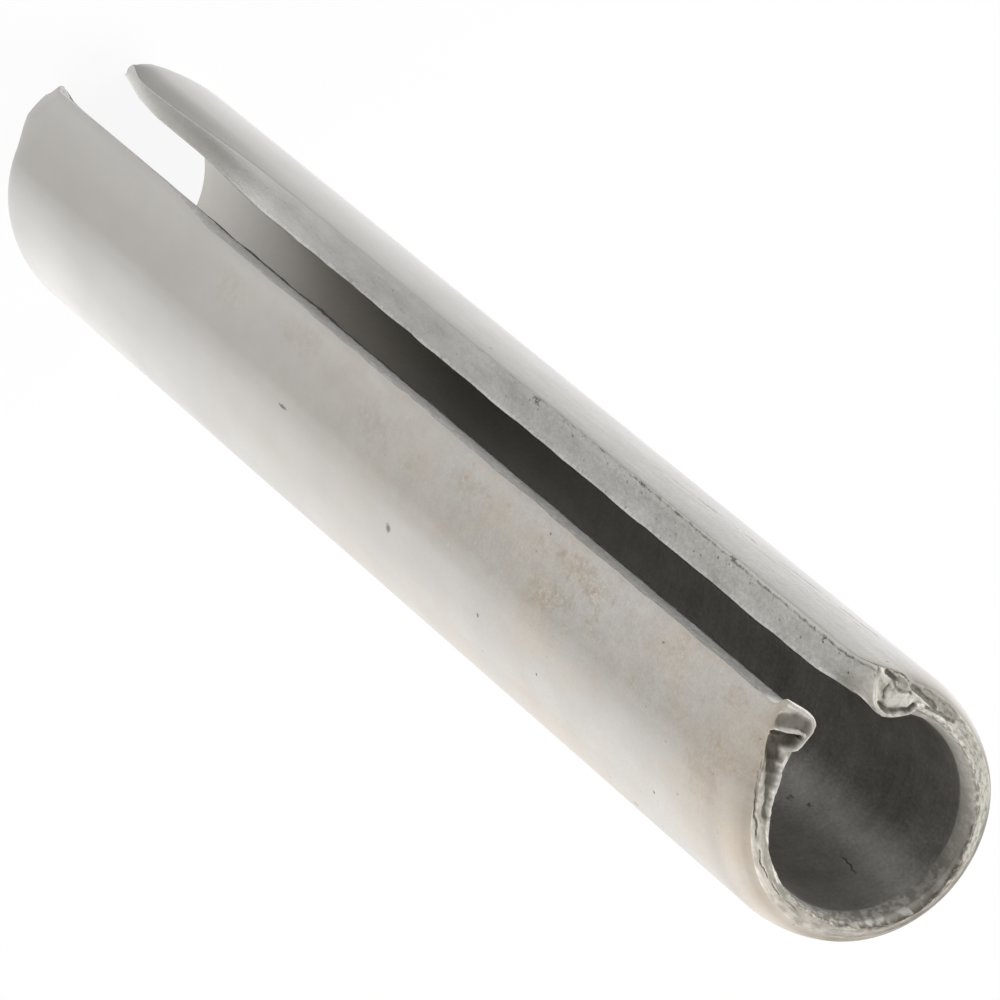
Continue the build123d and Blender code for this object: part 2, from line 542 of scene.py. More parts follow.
def folds(x, y, from_top):
    """Height of the folds, and the marks for grime with painted shade and for rubbed edges with painted
    highlight.
    """
    sunk, raised, grime, rubbed = (np.zeros(x.shape) for _ in range(4))
    near = smooth_step(from_top, fold_height, 0.0)
    wide_at, fine_at = (x * 6, y * 6), (x * 19, y * 19)
    bent_x = x + wide_bend * lattice_noise(16, *wide_at) + fine_bend * lattice_noise(17, *fine_at)
    bent_y = y + wide_bend * lattice_noise(18, *wide_at) + fine_bend * lattice_noise(19, *fine_at)
    for points, width, rise, mark in upright_lip_lines + folded_lip_lines:
        mask = line_mask(bent_x, bent_y, points, width) * near
        sunk, raised = np.minimum(sunk, rise * mask), np.maximum(raised, rise * mask)
        # dark marks are grime and painted shade, bright marks are rubbed steel and painted highlight
        grime = np.maximum(grime, -mark * mask)
        rubbed = np.maximum(rubbed, mark * mask)
    return sunk + raised, grime, rubbed * (1 - grime)


# %% [markdown]
# ## How far the lips reach
# Along the body both lips are as wide as the strip was slit, and one keeps a burr along the bore.
# At the top the upset ends reach further or less far. At the foot the taper tool has drawn the
# skin of one lip towards the slot until it hides the slit face, and the corner of the other is
# worn away in a long curve. The reach is a sum of such changes. Each fades in over its own
# length, so that one can be corrected without touching the others.

# %% Reach of the lips
upright_lump_height, folded_lump_height, folded_lump_height_inside = 0.50, 0.55, 0.36
burr_reach, burr_fades = 0.04, 1.7
skin_drawn, skin_drawn_length = 0.15, 8.6
tip_drawn, tip_drawn_length = 0.06, 0.6
worn_corner, worn_length = 0.52, 1.9
worn_edge, worn_edge_length = 0.28, 8.0


def lip_reach_at(side, share, from_top, from_foot):
    """How far a lip reaches from the start of its flat: plain in the middle, changed at both ends."""
    upright_tip = upright_reach[0] - upright_reach[1] * share - upright_reach[2] * share**6
    folded_tip = folded_reach[0] - folded_reach[1] * share - folded_reach[2] * share**6
    upright = lip_length + (upright_tip - lip_length) * smooth_step(from_top, upright_lump_height, 0.0)
    lump_height = folded_lump_height + (folded_lump_height_inside - folded_lump_height) * share
    folded = lip_length + (folded_tip - lip_length) * smooth_step(from_top, lump_height, 0.0)
    folded = folded + burr_reach * smooth_step(share, 0.80, 1.0) * smooth_step(from_top, 0.3, burr_fades)
    drawn = skin_drawn * (1 - share) * smooth_step(from_foot, skin_drawn_length, 0.7 * skin_drawn_length)
    drawn = drawn * smooth_step(from_foot, -0.8, 1.0)
    drawn = drawn + tip_drawn * smooth_step(from_foot, tip_drawn_length, 0.0)
    worn_skin = worn_corner * np.clip(1 - from_foot / worn_length, 0, 1) ** 1.5
    worn_bore = worn_edge * smooth_step(from_foot, worn_edge_length, 0.5 * worn_edge_length)
    rounding = np.clip(1 - (from_foot / (1.25 * worn_length)) ** 2, 0, 1) ** 1.5
    worn_bore += (worn_corner - worn_edge) * rounding
    worn = worn_skin + (worn_bore - worn_skin) * share
    return np.where(side > 0, upright + drawn, folded - worn)


skin_reach = [float(lip_reach_at(side, 0.0, 2 * top, 0.0)) for side in (1, -1)]
print("at the foot the lips' skin reaches", [round(reach, 2) for reach in skin_reach], "mm")

# %% [markdown]
# ## How far out the skin and the bore lie
# The wall is as thick as the strip, but the taper draws its skin in, the bevel opens its bore,
# and the upset lips swell both ways. The outlines say by how much, and the taper and the bevel
# blend them in towards the ends. A lump swells over a shorter length than the bevel, and the
# wall of the folded lip is thinner behind its lump.

# %% Skin and bore
lump_swells = 0.28
valley_depth, valley_length = 0.08, 1.7
foot_bend_length = 1.2


def wall_at(side, lip, from_top, from_foot):
    """How far out the outer skin and the bore lie from the axis."""
    outer_end = by_side(side, lip, upright_outline["outer"], folded_outline["outer"])
    inner_end = by_side(side, lip, upright_outline["inner"], folded_outline["inner"])
    outer_foot = by_side(side, lip, upright_foot, folded_foot)
    outer = radius - taper(from_top) * (radius - outer_end) / swage_drop
    outer = outer - taper(from_foot) * (radius - outer_foot) / swage_drop
    worn = smooth_step(lip, 0.40, 1.0) ** 2 * smooth_step(from_foot, worn_round_length, 2) * (side < 0)
    outer = outer - worn_round * worn
    swollen = smooth_step(np.abs(inner_end - plain_mouth), 0.02, 0.06)
    profile = bevel(from_top) * (1 - swollen) + smooth_step(from_top, lump_swells, 0.02) * swollen
    valley = valley_depth * smooth_step(from_top, valley_length, 0.3) * smooth_step(from_top, 0.04, 0.3)
    valley = valley * smooth_step(lip, 0.35, 0.75) * (side < 0)
    inner = bore + (inner_end - bore) * profile + valley + 0.4 * mouth_width * bevel(from_foot)
    inwards, outwards = -bent_in * smooth_step(lip, 0.5, 1.05), bent_out * smooth_step(lip, 0.1, 0.5)
    inner = inner + np.where(side > 0, inwards, outwards) * smooth_step(from_foot, foot_bend_length, 0.0)
    return outer, inner


skin_at_end, mouth_at_end = wall_at(1, -roll_half, 0.0, 2 * top)
print("the end's wall at the back is", round(float(skin_at_end - mouth_at_end), 2), "mm thick")

# %% [markdown]
# ## From the strip to the pin
# The back of the strip lies on a circle, and the last millimetre at each side of the slot stays
# flat, because rolls can't grip a strip's edge. A point on the flat part is placed by its
# distance along the lip and its distance out from the axis. Noise makes the slit faces' long
# edges ragged, chips the mouth and roughens the end.

# %% Place of a point
drawn_lip_radius, drawn_lip_length = 2.14, 1.0
ragged_edge, skin_waviness = 0.026, 0.004
chipping_by_slot, more_chipping_at_back, chipped_height = 0.008, 0.016, 0.16
worn_open, left_narrow = 0.08, 0.04
rolled_edge, end_roughness, fine_end_roughness = 0.12, 0.006, 0.004


def place(across, depth, along):
    """Places of the rolled pin for points of the strip, in millimetres, and the marks for grime with
    painted shade and for rubbed edges with painted highlight.
    """
    side = np.where(across < 0, -1, 1)
    past_flat = np.abs(across) - roll_half
    angle = np.maximum(math.pi - np.abs(across) / radius, flat_start)
    from_top, from_foot = top - along, along - foot
    share = depth / wall
    reach = lip_reach_at(side, share, from_top, from_foot) / lip_length
    lip = past_flat * np.where(past_flat > 0, reach, 1)
    # The shear left both long edges of each slit face slightly ragged.
    torn_edge = lattice_noise(20, along * 1.7 + 5 * side)
    torn_edge = torn_edge + 0.6 * lattice_noise(24, along * 3.1 + 9 * side)
    at_edge = np.maximum(smooth_step(share, 0.75, 1.0), 0.6 * smooth_step(share, 0.25, 0.0))
    on_body = smooth_step(from_foot, 3, 12) * smooth_step(from_top, 0.2, 0.6)
    lip = lip + ragged_edge * torn_edge * at_edge * smooth_step(lip, 0.85, 1.0) * on_body
    outer, inner = wall_at(side, lip, from_top, from_foot)

    ragged = lattice_noise(11, across * 4 + 7, along * 6)
    ragged = ragged + 0.5 * lattice_noise(12, across * 15, along * 15)
    worn_mouth = worn_open * hump(angle, math.pi, math.radians(50))
    worn_mouth = worn_mouth - left_narrow * hump(side * angle, math.radians(110), math.radians(40))
    chipped = chipping_by_slot + more_chipping_at_back * smooth_step(np.abs(across), 3.6, 2.8)
    at_mouth = smooth_step(from_top, chipped_height, 0.02) * smooth_step(share, 0.6, 1.0)
    inner = inner + (chipped * ragged + worn_mouth) * at_mouth
    outer = outer + skin_waviness * lattice_noise(13, across * 1.4, along * 0.22 + 20)
    out = outer + (inner - outer) * share

    lip = np.maximum(lip, 0)
    x = side * np.sin(angle) * out - side * np.cos(angle) * lip
    y = -np.cos(angle) * out - np.sin(angle) * lip
    lip_radius = math.hypot(radius, lip_length)
    limit = drawn_lip_radius + (lip_radius - drawn_lip_radius) * from_foot / drawn_lip_length
    pull = np.where(from_foot < drawn_lip_length, np.minimum(1, limit / np.hypot(x, y)), 1)
    x, y = x * pull, y * pull

    height, grime, rubbed = folds(x, y, from_top)
    rough_end = end_roughness * lattice_noise(14, x * 7, y * 7)
    rough_end = rough_end + fine_end_roughness * lattice_noise(15, x * 22, y * 22)
    # The end's outer edge is rolled over, less and less towards the folded lip.
    rolled_over = smooth_step(side * np.abs(across), -roll_half * 0.75, -roll_half * 0.2)
    rough_end = rough_end - rolled_edge * (1 - share) ** 2 * rolled_over
    z = along + height + rough_end * smooth_step(from_top, fold_height, 0.0)
    return np.stack([x, y, z], axis=-1), grime, rubbed


slot_corners = place(np.array([-strip_half, strip_half]), np.full(2, wall), np.zeros(2))[0]
print("halfway along, the slot is", round(float(np.ptp(slot_corners[:, 0])), 2), "mm wide at the bore")

# %% [markdown]
# ## The slab as a closed mesh
# A ring of points runs round the slab at each row: along the outer skin, over one slot face,
# back along the bore and over the other slot face. The rows are joined by quads, and a grid
# closes each end. Every face knows which of the four surfaces it belongs to.

# %% Mesh
OUTSIDE, SLOT_FACE, BORE, END_FACE = range(4)


def ring(across_places, depth_places):
    """The slab's ring of points, as (across, depth), and the surface that starts at each point."""
    outer = [(q, 0.0, OUTSIDE) for q in across_places[:-1]]
    right = [(across_places[-1], depth, SLOT_FACE) for depth in depth_places[:-1]]
    inner = [(q, wall, BORE) for q in reversed(across_places[1:])]
    left = [(across_places[0], depth, SLOT_FACE) for depth in reversed(depth_places[1:])]
    return outer + right + inner + left


points, faces, surfaces = [], [], []
coarse, fine = ring(across_lines, depth_lines), ring(fine_across, fine_depth)


def add_rows(the_ring, rows):
    """Add one ring of points for each row, and return the number of each row's first point."""
    starts = []
    for along in rows:
        starts.append(len(points))
        points.extend((q, depth, along) for q, depth, surface in the_ring)
    return starts


def join_rows(the_ring, starts):
    """Join rings of the same density by quads."""
    count = len(the_ring)
    for lower, upper in zip(starts, starts[1:]):
        for i, (q, depth, surface) in enumerate(the_ring):
            j = (i + 1) % count
            faces.append((lower + i, lower + j, upper + j, upper + i))
            surfaces.append(surface)


def close_end(the_ring, start, across_places, depth_places, along, facing_up):
    """Close one end of the slab with a grid whose border is the last ring."""
    number = {(q, depth): start + i for i, (q, depth, surface) in enumerate(the_ring)}
    for q in across_places[1:-1]:
        for depth in depth_places[1:-1]:
            number[q, depth] = len(points)
            points.append((q, depth, along))
    for q0, q1 in zip(across_places, across_places[1:]):
        for d0, d1 in zip(depth_places, depth_places[1:]):
            face = [number[q0, d0], number[q1, d0], number[q1, d1], number[q0, d1]]
            faces.append(tuple(face if facing_up else reversed(face)))
            surfaces.append(END_FACE)


coarse_starts = add_rows(coarse, body_rows[:-1])
fine_starts = add_rows(fine, top_rows)
join_rows(coarse, coarse_starts)
join_rows(fine, fine_starts)

fine_index = {(q, depth): i for i, (q, depth, surface) in enumerate(fine)}
for i, (q, depth, surface) in enumerate(coarse):
    j = (i + 1) % len(coarse)
    first, last = fine_index[q, depth], fine_index[coarse[j][:2]]
    between = [(first + k) % len(fine) for k in range((last - first) % len(fine) + 1)]
    upper = [fine_starts[0] + k for k in reversed(between)]
    faces.append((coarse_starts[-1] + i, coarse_starts[-1] + j, *upper))
    surfaces.append(surface)

close_end(coarse, coarse_starts[0], across_lines, depth_lines, foot, facing_up=False)
close_end(fine, fine_starts[-1], fine_across, fine_depth, top, facing_up=True)
strip_points = np.array(points)
print("mesh:", len(points), "points,", len(faces), "faces")

# %% [markdown]
# ## Rounding the slab's edges
# No edge of the real strip is sharp: tumbling has broken them all. A point near an edge is moved
# onto a small round. The slab is shrunk by the rounding's radius, the nearest point of the
# shrunk slab is found, and the point is put that radius away from it.

# %% Rounding, rolling and the finished mesh
slab_low = np.array([-strip_half, 0, foot])
slab_high = np.array([strip_half, wall, top])
core = np.clip(strip_points, slab_low + edge_round, slab_high - edge_round)
offset = strip_points - core
rounded = core + edge_round * offset / np.linalg.norm(offset, axis=1, keepdims=True)
rolled, grime, rubbed = place(*rounded.T)

mesh = bpy.data.meshes.new("rolled_strip")
mesh.from_pydata((rolled * MM).tolist(), [], faces)
mesh.polygons.foreach_set("material_index", surfaces)
mesh.polygons.foreach_set("use_smooth", [True] * len(faces))
mesh.attributes.new("strip", "FLOAT_VECTOR", "POINT").data.foreach_set("vector", strip_points.ravel())
# the fold marks, grime with painted shade and rubbing with painted highlight, go on the mesh for the
# end's finish
for name, values in (("grime", grime), ("rubbed", rubbed)):
    mesh.attributes.new(name, "FLOAT", "POINT").data.foreach_set("value", values)
problems = mesh.validate(verbose=False)
mesh.update()
pin = bpy.data.objects.new("rolled_strip", mesh)
bpy.context.scene.collection.objects.link(pin)
triangles = sum(len(polygon.vertices) - 2 for polygon in mesh.polygons)
print("the pin has", triangles, "triangles; repaired:", problems)

# %% [markdown]
# ## Finishes
# Each surface of the strip has its own history. The outer skin was rolled bright and then
# tumbled, so it is a satin grey with soft lengthwise bands. The slot faces were slit from the
# sheet and are granular. The bore kept a duller skin. The end face was cropped and is pitted.
# All are one steel, so one function builds each from its own colour, roughness and relief. The
# four join the pin in the order in which the mesh numbers its surfaces.


# %% Steel
def marked(tree, name, output="Fac"):
    """What the mesh carries under a name: a mark from 0 to 1, or a vector."""
    return tree.node("ShaderNodeAttribute", {"attribute_name": name}, {}, output=output)


def steel(name):
    """The pin's next material, as the strip coordinates in its tree: across, depth and along."""
    material = bpy.data.materials.new(name)
    pin.data.materials.append(material)
    return marked(new_tree(material), "strip", "Vector")


def finish(colour, roughness, relief, relief_height):
    """Metal of one colour and roughness, with a relief whose height is in metres."""
    sockets = {"Height": relief, "Strength": 1.0, "Distance": relief_height}
    bump = colour.node("ShaderNodeBump", {}, sockets)
    sockets = {"Base Color": colour, "Roughness": roughness, "Metallic": 1.0, "Normal": bump}
    shader = colour.node("ShaderNodeBsdfPrincipled", {}, sockets)
    colour.node("ShaderNodeOutputMaterial", {}, {"Surface": shader})
    print("finished:", len(colour.tree.nodes), "nodes")


def tinted(colour, *tints):
    """The colour after each tint in turn: a mask, and what share of red, green and blue it leaves."""
    for mask, shares in tints:
        colour = mask.mixed(colour, colour.scaled(*shares))
    return colour


def painted(colour, *coats):
    """The colour after each coat in turn: a mask, and the colour that shows where it is 1."""
    for mask, coat in coats:
        colour = mask.mixed(colour, (*coat, 1))
    return colour


def spot(strip, middle, half_width, half_length, unevenness):
    """1 inside one soft, uneven spot of the strip, whose middle is (across, along)."""
    shape = (1 / half_width, 0, 1 / half_length)
    shift = (-middle[0] / half_width, 0, -middle[1] / half_length)
    sockets = {0: strip, 1: shape, 2: shift}
    placed = strip.node("ShaderNodeVectorMath", {"operation": "MULTIPLY_ADD"}, sockets)
    away = placed.node("ShaderNodeVectorMath", {"operation": "LENGTH"}, {0: placed}, output="Value")
    return (away + unevenness).ramp(1.0, 0.35)


# %% [markdown]
# ## The tumbled skin
# Rolls burnish the round of the strip. They don't press on its flat edges, so the lips stay
# duller, and most of all where the flat meets the round. The same curve across the strip is
# also painted shade: it darkens the flats and the back, where the lamps alone leave the steel
# too light. On top come the soft bands that rolling leaves along the strip, cloudy patches and a
# fine grain from tumbling. All of these are one value that mixes a dull steel with a bright one,
# which is easier to balance than colours are. Fine detail fades towards the foot, as it does in
# the photograph.

# %% The tumbled skin
strip = steel("tumbled_skin")
across, depth, along = strip.parts()
# burnish and painted shade: the flats and the back are darker
burnish_and_shade = across.graded([
    (-6.50, 0.06), (-6.10, 0.34), (-5.70, 0.55), (-5.35, 0.78), (-5.00, 0.84), (-4.40, 0.80),
    (-4.00, 0.72), (-3.60, 0.44), (-3.00, 0.26), (-2.20, 0.22), (1.40, 0.22), (2.40, 0.72),
    (3.80, 0.77), (4.40, 0.73), (4.70, 0.66), (4.97, 0.46), (5.20, 0.25), (5.60, 0.31), (6.50, 0.48),
], low=-6.6, high=6.6)
bands = strip.cloudy(1.1, 1.0, 0.10, detail=4)
clouds = strip.cloudy(0.9, 1.0, 0.55, 3.0, detail=4)
mottling = strip.cloudy(5, 1.0, 4, 8.0, detail=4, roughness=0.65)
grain = strip.cloudy(19, 10, 15, 5.0, detail=2, roughness=0.7)
streaks = strip.cloudy(13, 1.0, 0.7, 6.0, detail=3, distortion=0.3)
blotches = strip.cloudy(2.6, 1.0, 1.5, 25.0, detail=5, roughness=0.6)
detailed = along.ramp(-7, 9)
lip_side = across.ramp(4.6, 5.6)
slot_side = across.ramp(-5.0, -5.5)
back = across.absolute().ramp(2.6, 1.6)
shade = burnish_and_shade + bands * (0.22 + back * 0.6) + clouds * (0.22 + back * 0.5)
grainy = grain * (0.30 + lip_side * 0.25 + slot_side * 0.45)
mottled = mottling * (0.16 + lip_side * 0.16 + slot_side * 0.24)
shade = shade + detailed * (grainy + mottled)
shade = shade + streaks * slot_side * (0.15 + detailed * 0.50)
shade = shade + blotches * along.ramp(-11, 2) * (0.06 + lip_side * 0.26)
dull_steel, bright_steel = (0.360, 0.345, 0.322, 1), (0.660, 0.655, 0.645, 1)
colour = shade.mixed(dull_steel, bright_steel)
print("the skin's plain colour:", len(colour.tree.nodes), "nodes")

# %% [markdown]
# ## Warm and dull places of the skin, and painted light and shade
# The upright lip's side is warm, and the folded lip's side is a neutral grey. Where the taper
# tool drew the end in, it left the skin rougher, and its colour is darkened there as painted shade.
# At the foot the round is lightened as painted light, and the folded lip's edge is darkened as
# painted shade. A tint multiplies the colour below it, so the grain still shows through.

# %% Tints of the skin
stained = strip.scaled(0.8, 1.0, 0.45, 9.0).noise(detail=5).ramp(0.40, 0.66)
ochre = strip.scaled(1.6, 1.0, 1.1, 12.0).noise(detail=5, roughness=0.62).ramp(0.54, 0.68)
ochre = ochre * across.ramp(4.6, 5.5)
warm_side = across.ramp(-4.6, 4.0) * 0.9 + 0.1
warmth = stained * along.ramp(-9, 6) * 0.50 + along.ramp(-16, 2) * 0.12 + 0.12
warmth = (warmth + along.ramp(11, 16) * 0.25) * warm_side

drawn_in = along.ramp(14.9, 15.9)
upright_end = across.ramp(2.2, 3.2) * across.ramp(5.2, 4.6) * along.ramp(14.3, 15.5)
folded_end = along.ramp(14.6, 15.8) * across.ramp(-4.0, -5.2) * across.ramp(-6.0, -5.5)
folded_foot_edge_shade = across.ramp(-5.8, -6.4) * along.ramp(-6, -14)
far_round_light = across.absolute().ramp(5.2, 3.0) * (1 - back) * along.ramp(-7, -14)
colour = tinted(
    colour,
    (warmth, (1.0, 0.925, 0.83)),
    (ochre * along.ramp(-2, 6) * 0.55, (0.93, 0.84, 0.72)),
    (upright_end, (0.85, 0.84, 0.83)),
    # painted shade: the folded lip's skin is darker along its edge at the foot
    (folded_foot_edge_shade, (0.76, 0.76, 0.76)),
    # painted light: the round at the foot is lighter
    (far_round_light, (1.18, 1.18, 1.18)),
    # painted shade: the drawn-in end is darker
    (drawn_in * (1 - lip_side * 0.55), (0.80, 0.785, 0.76)),
    (folded_end, (0.80, 0.79, 0.77)),
    (along.ramp(15.7, 15.95) * across.ramp(-1.0, -2.5), (0.76, 0.76, 0.75)),
)
print("with its tints:", len(colour.tree.nodes), "nodes")

# %% [markdown]
# ## Stains
# The larger stains lie where the photograph shows them. Each is a soft spot with an uneven edge,
# given by its middle as (across, along), its half width, its half length and its share. Brown
# and pale fibres, which are two bands of one noise, run through every stained place.

# %% Stains
uneven = mottling * 1.6 + blotches * 1.2
fibrous = strip.scaled(6.5, 1.0, 4.5, 39.0).noise(detail=6, roughness=0.72, distortion=0.3)
handled = across.ramp(5.0, 5.7) * along.ramp(4, 8) * along.ramp(15, 13)
stained_area = ochre * along.ramp(-2, 6) + handled * 0.30
placed_stains = (
    ((6.08, 8.90), 0.26, 1.20, 0.36), ((6.15, 14.50), 0.30, 0.55, 0.30),
    ((4.80, 14.50), 0.50, 0.80, 0.30), ((5.92, -6.00), 0.40, 0.90, 0.16),
    ((6.05, -3.00), 0.40, 1.00, 0.20), ((5.55, 8.40), 0.30, 0.60, 0.30),
    ((5.70, 0.50), 0.40, 0.90, 0.22), ((5.95, 4.30), 0.30, 0.90, 0.28),
)
for middle, half_width, half_length, stain_share in placed_stains:
    stain = spot(strip, middle, half_width, half_length, uneven)
    colour = tinted(colour, (stain * stain_share, (0.80, 0.72, 0.62)))
    stained_area = stained_area + stain * (stain_share * 2)
brown_fibres = stained_area * fibrous.ramp(0.50, 0.60)
pale_fibres = stained_area * (fibrous - 0.44).absolute().ramp(0.030, 0.0)
colour = tinted(colour, (brown_fibres * 0.25, (0.74, 0.64, 0.52)))
colour = painted(colour, (pale_fibres * 0.38, (0.74, 0.72, 0.67)))
print("with", len(placed_stains), "placed stains:", len(colour.tree.nodes), "nodes")

# %% [markdown]
# ## Marks on the skin
# Handling has left dark specks, short scratches and pale scuffs, and the roll has opened one
# long crack in the folded lip's skin. Most are spots of which only a share is kept, so that they
# lie irregularly. Six specks lie where the photograph shows them.

# %% Marks on the skin
freckles = strip.scaled(3.1, 1.0, 2.3, 2.0).specks(0.11, 0.10) * along.ramp(-9, 3)
dots = strip.scaled(8.0, 1.0, 5.0, 4.0).specks(0.15, 0.12)
dots = dots * across.ramp(2, 6) * along.ramp(0, 12)
nicks = strip.scaled(9, 1.0, 2.6, 14.0).specks(0.14, 0.07)
nicks = (nicks + strip.scaled(2.4, 1.0, 10, 17.0).specks(0.13, 0.06)) * detailed
crack_wander = strip.cloudy(0.01, 0.01, 1.6, 21.0, detail=4)
from_crack = across - along * 0.05 + crack_wander * 0.24 + 5.85
crack = from_crack.absolute().ramp(0.050, 0.008) + (from_crack + 0.17).absolute().ramp(0.040, 0.008) * 0.5
crack = crack * along.ramp(3, 9) * along.ramp(14.4, 13.4)
crack = crack * strip.scaled(2, 1.0, 1.6, 23.0).noise(detail=4).ramp(0.38, 0.60)
ochre_ticks = strip.scaled(12, 1.0, 6, 31.0).specks(0.20, 0.30) * ochre * detailed
dirt = freckles * 0.75 + dots * 0.45 + nicks * 0.45 + ochre_ticks * 0.40 + crack * 0.34
colour = painted(colour, (dirt, (0.11, 0.095, 0.078)))
placed_specks = (
    ((4.47, 2.10), 0.10, 0.12), ((4.93, -2.65), 0.04, 0.20), ((6.26, 7.25), 0.03, 0.04),
    ((6.09, 11.85), 0.025, 0.06), ((3.04, 11.35), 0.07, 0.07), ((4.32, 5.85), 0.05, 0.06),
)
for middle, half_width, half_length in placed_specks:
    speck = spot(strip, middle, half_width, half_length, grain * 1.5)
    colour = painted(colour, (speck * 0.7, (0.12, 0.09, 0.07)))
scuffs = strip.scaled(2.2, 1.0, 8, 33.0).specks(0.12, 0.10)
scuffs = scuffs + strip.scaled(9, 1.0, 5, 35.0).specks(0.16, 0.06)
colour = painted(colour, (scuffs * detailed * across.ramp(3.6, 5.0) * 0.35, (0.80, 0.78, 0.75)))
roughness = 0.50 + clouds * 0.10 + grain * 0.08 + drawn_in * 0.35
relief = grain * 0.6 + clouds * 0.4 - freckles - nicks * 0.5 - crack * 2
finish(colour, roughness, relief, 0.000005)

# %% [markdown]
# ## The slit faces
# A shear slit the strip from its sheet. It leaves a matt, granular face. Its shade is a sum of
# grains, wider patches and fine scores along the pin. The upright lip's face is the darker one,
# because it gets less light, and its colour is darkened further as painted shade. Towards the
# foot both faces are lightened as painted light.

# %% The slit faces
strip = steel("slit_face")
across, depth, along = strip.parts()
grains = strip.cloudy(15, 15, 11, detail=4, roughness=0.6)
patches = strip.cloudy(2.2, 3.0, 1.1, 4.0, detail=4)
scores = strip.cloudy(1.0, 26, 0.8, 8.0, detail=2)
upright_side = across.ramp(-1, 1)
folded_side = 1 - upright_side
detailed = along.ramp(-7, 8)
# painted light: both faces grow lighter towards the foot
far_painted_light = along.ramp(-3, -14)
shade = 0.46 + depth * 0.14 + grains * (0.20 + detailed * 1.1 + upright_side * 1.2) + patches * 0.70
# painted light towards the foot, and painted shade on the upright lip's face
shade = shade + scores * (0.2 + upright_side * 0.5) + far_painted_light * 0.72 - upright_side * (0.40 + far_painted_light * 0.45)
colour = shade.mixed((0.330, 0.324, 0.308, 1), (0.610, 0.598, 0.572, 1))
colour = tinted(colour, (along.ramp(2, 12) * folded_side, (1.05, 1.04, 1.02)))
print("the slit faces' plain colour:", len(colour.tree.nodes), "nodes")

# %% [markdown]
# ## Pits and the torn line
# The shear pulled grains out of the face, and the outer skin tore off in a broken dark line. A
# spot of three-dimensional noise is often missed by a flat face, so the larger holes are drawn
# in the face's own two directions. The skin laps over the tear in a paler strip.

# %% Pits and the torn line
pits = strip.scaled(9, 9, 6, 1.0).specks(0.26, 0.25)
pits = pits + strip.scaled(17, 17, 12, 2.0).specks(0.28, 0.30) * 0.7
flat_face = strip.node("ShaderNodeCombineXYZ", {}, {"X": depth, "Y": along, "Z": 0.0})
holes = flat_face.scaled(5.5, 4.0, 1.0, 7.0).specks(0.18, 0.26, space="2D") * (grains * 2.5 + 0.45)
pits = pits + holes * (1 - upright_side * 0.6)
glints = strip.scaled(14, 14, 9, 3.0).specks(0.26, 0.12)
wander = strip.cloudy(0.01, 0.01, 3.2, 6.0, detail=5, roughness=0.65)
lap = along.ramp(3, 15) * folded_side * 0.07
from_tear = depth + wander * 0.10 - lap
broken = strip.scaled(0.01, 0.01, 2.0, 9.0).noise(detail=6, roughness=0.7).ramp(0.42, 0.62)
torn = from_tear.absolute().ramp(0.030, 0.004) * (broken * 0.85 + 0.15) * along.ramp(-6, 10)
crumbs = strip.scaled(13, 13, 8, 5.0).specks(0.40, 0.5) * from_tear.ramp(0.20, 0.02) * along.ramp(-4, 6)
lapped = from_tear.ramp(0.010, -0.010) * folded_side
colour = painted(
    colour,
    (pits * (0.15 + detailed * 0.80), (0.070, 0.066, 0.060)),
    (glints * detailed * 0.5, (0.82, 0.81, 0.79)),
    (lapped * detailed * 0.6, (0.61, 0.60, 0.565)),
    (torn * 0.70 + crumbs * 0.35, (0.125, 0.115, 0.085)),
)
print("with pits and the tear:", len(colour.tree.nodes), "nodes")

# %% [markdown]
# ## Chips and the burr
# The photograph shows four chips on the folded lip's torn edge, each given as (along, depth,
# size). The burr along the bore is painted as a pale line on the folded lip's face, a painted
# highlight, and as a dark line on the upright lip's face, painted shade where it lies in the dark.
# Towards the foot the inner part of both faces is lightened further as painted light. Both faces
# take the colour of the upset end where they run into it.

# %% Chips and the burr
chips = ((3.16, 0.08, 0.10), (7.50, 0.03, 0.08), (10.88, 0.04, 0.09), (14.40, 0.10, 0.10))
for chip_along, chip_depth, size in chips:
    chip = (along - chip_along + (grains + patches) * 0.5).absolute().ramp(size, size * 0.4)
    chip = chip * (depth - chip_depth).absolute().ramp(size * 0.8, size * 0.2)
    colour = painted(colour, (chip * folded_side * 0.75, (0.09, 0.075, 0.06)))

edge_wander = strip.cloudy(0.01, 0.01, 5.0, 13.0, detail=6, roughness=0.75)
inner_edge = depth + edge_wander * 0.24
# painted highlight on the folded lip's burr, and painted shade on the upright lip's burr
colour = painted(
    colour,
    (inner_edge.ramp(0.50, 0.55) * folded_side * 0.5, (0.78, 0.77, 0.75)),
    (depth.ramp(0.560, 0.576) * folded_side * along.ramp(-9, -2) * 0.9, (0.135, 0.095, 0.078)),
    (inner_edge.ramp(0.43, 0.47) * upright_side * 0.9, (0.05, 0.048, 0.044)),
)
end_blend = along.ramp(14.9, 15.5)
# painted light: the inner part of both faces is lighter towards the foot
colour = tinted(
    colour,
    (far_painted_light * depth.ramp(0.20, 0.55), (1.3, 1.3, 1.3)),
    (upright_side * along.ramp(2, 8) * depth.ramp(0.40, 0.20), (0.84, 0.85, 0.86)),
)
colour = painted(colour, (end_blend * upright_side, (0.54, 0.52, 0.485)))
colour = tinted(colour, (end_blend * folded_side * depth.ramp(0.2, 0.5), (0.72, 0.71, 0.69)))
relief = grains * 0.7 + patches * 0.3 - pits * 0.6 - torn
finish(colour, 0.50 + grains * 0.2 + end_blend * 0.2, relief, 0.000012)

# %% [markdown]
# ## The bore
# Nothing rubs the inside, so it keeps a duller, slightly rougher skin. It looks dark mostly
# because so little light gets in. Its colour holds painted light as well: a painted highlight on
# one side of its middle, and a grading along it that is darker below the middle, lighter above
# it and lightest at the foot.

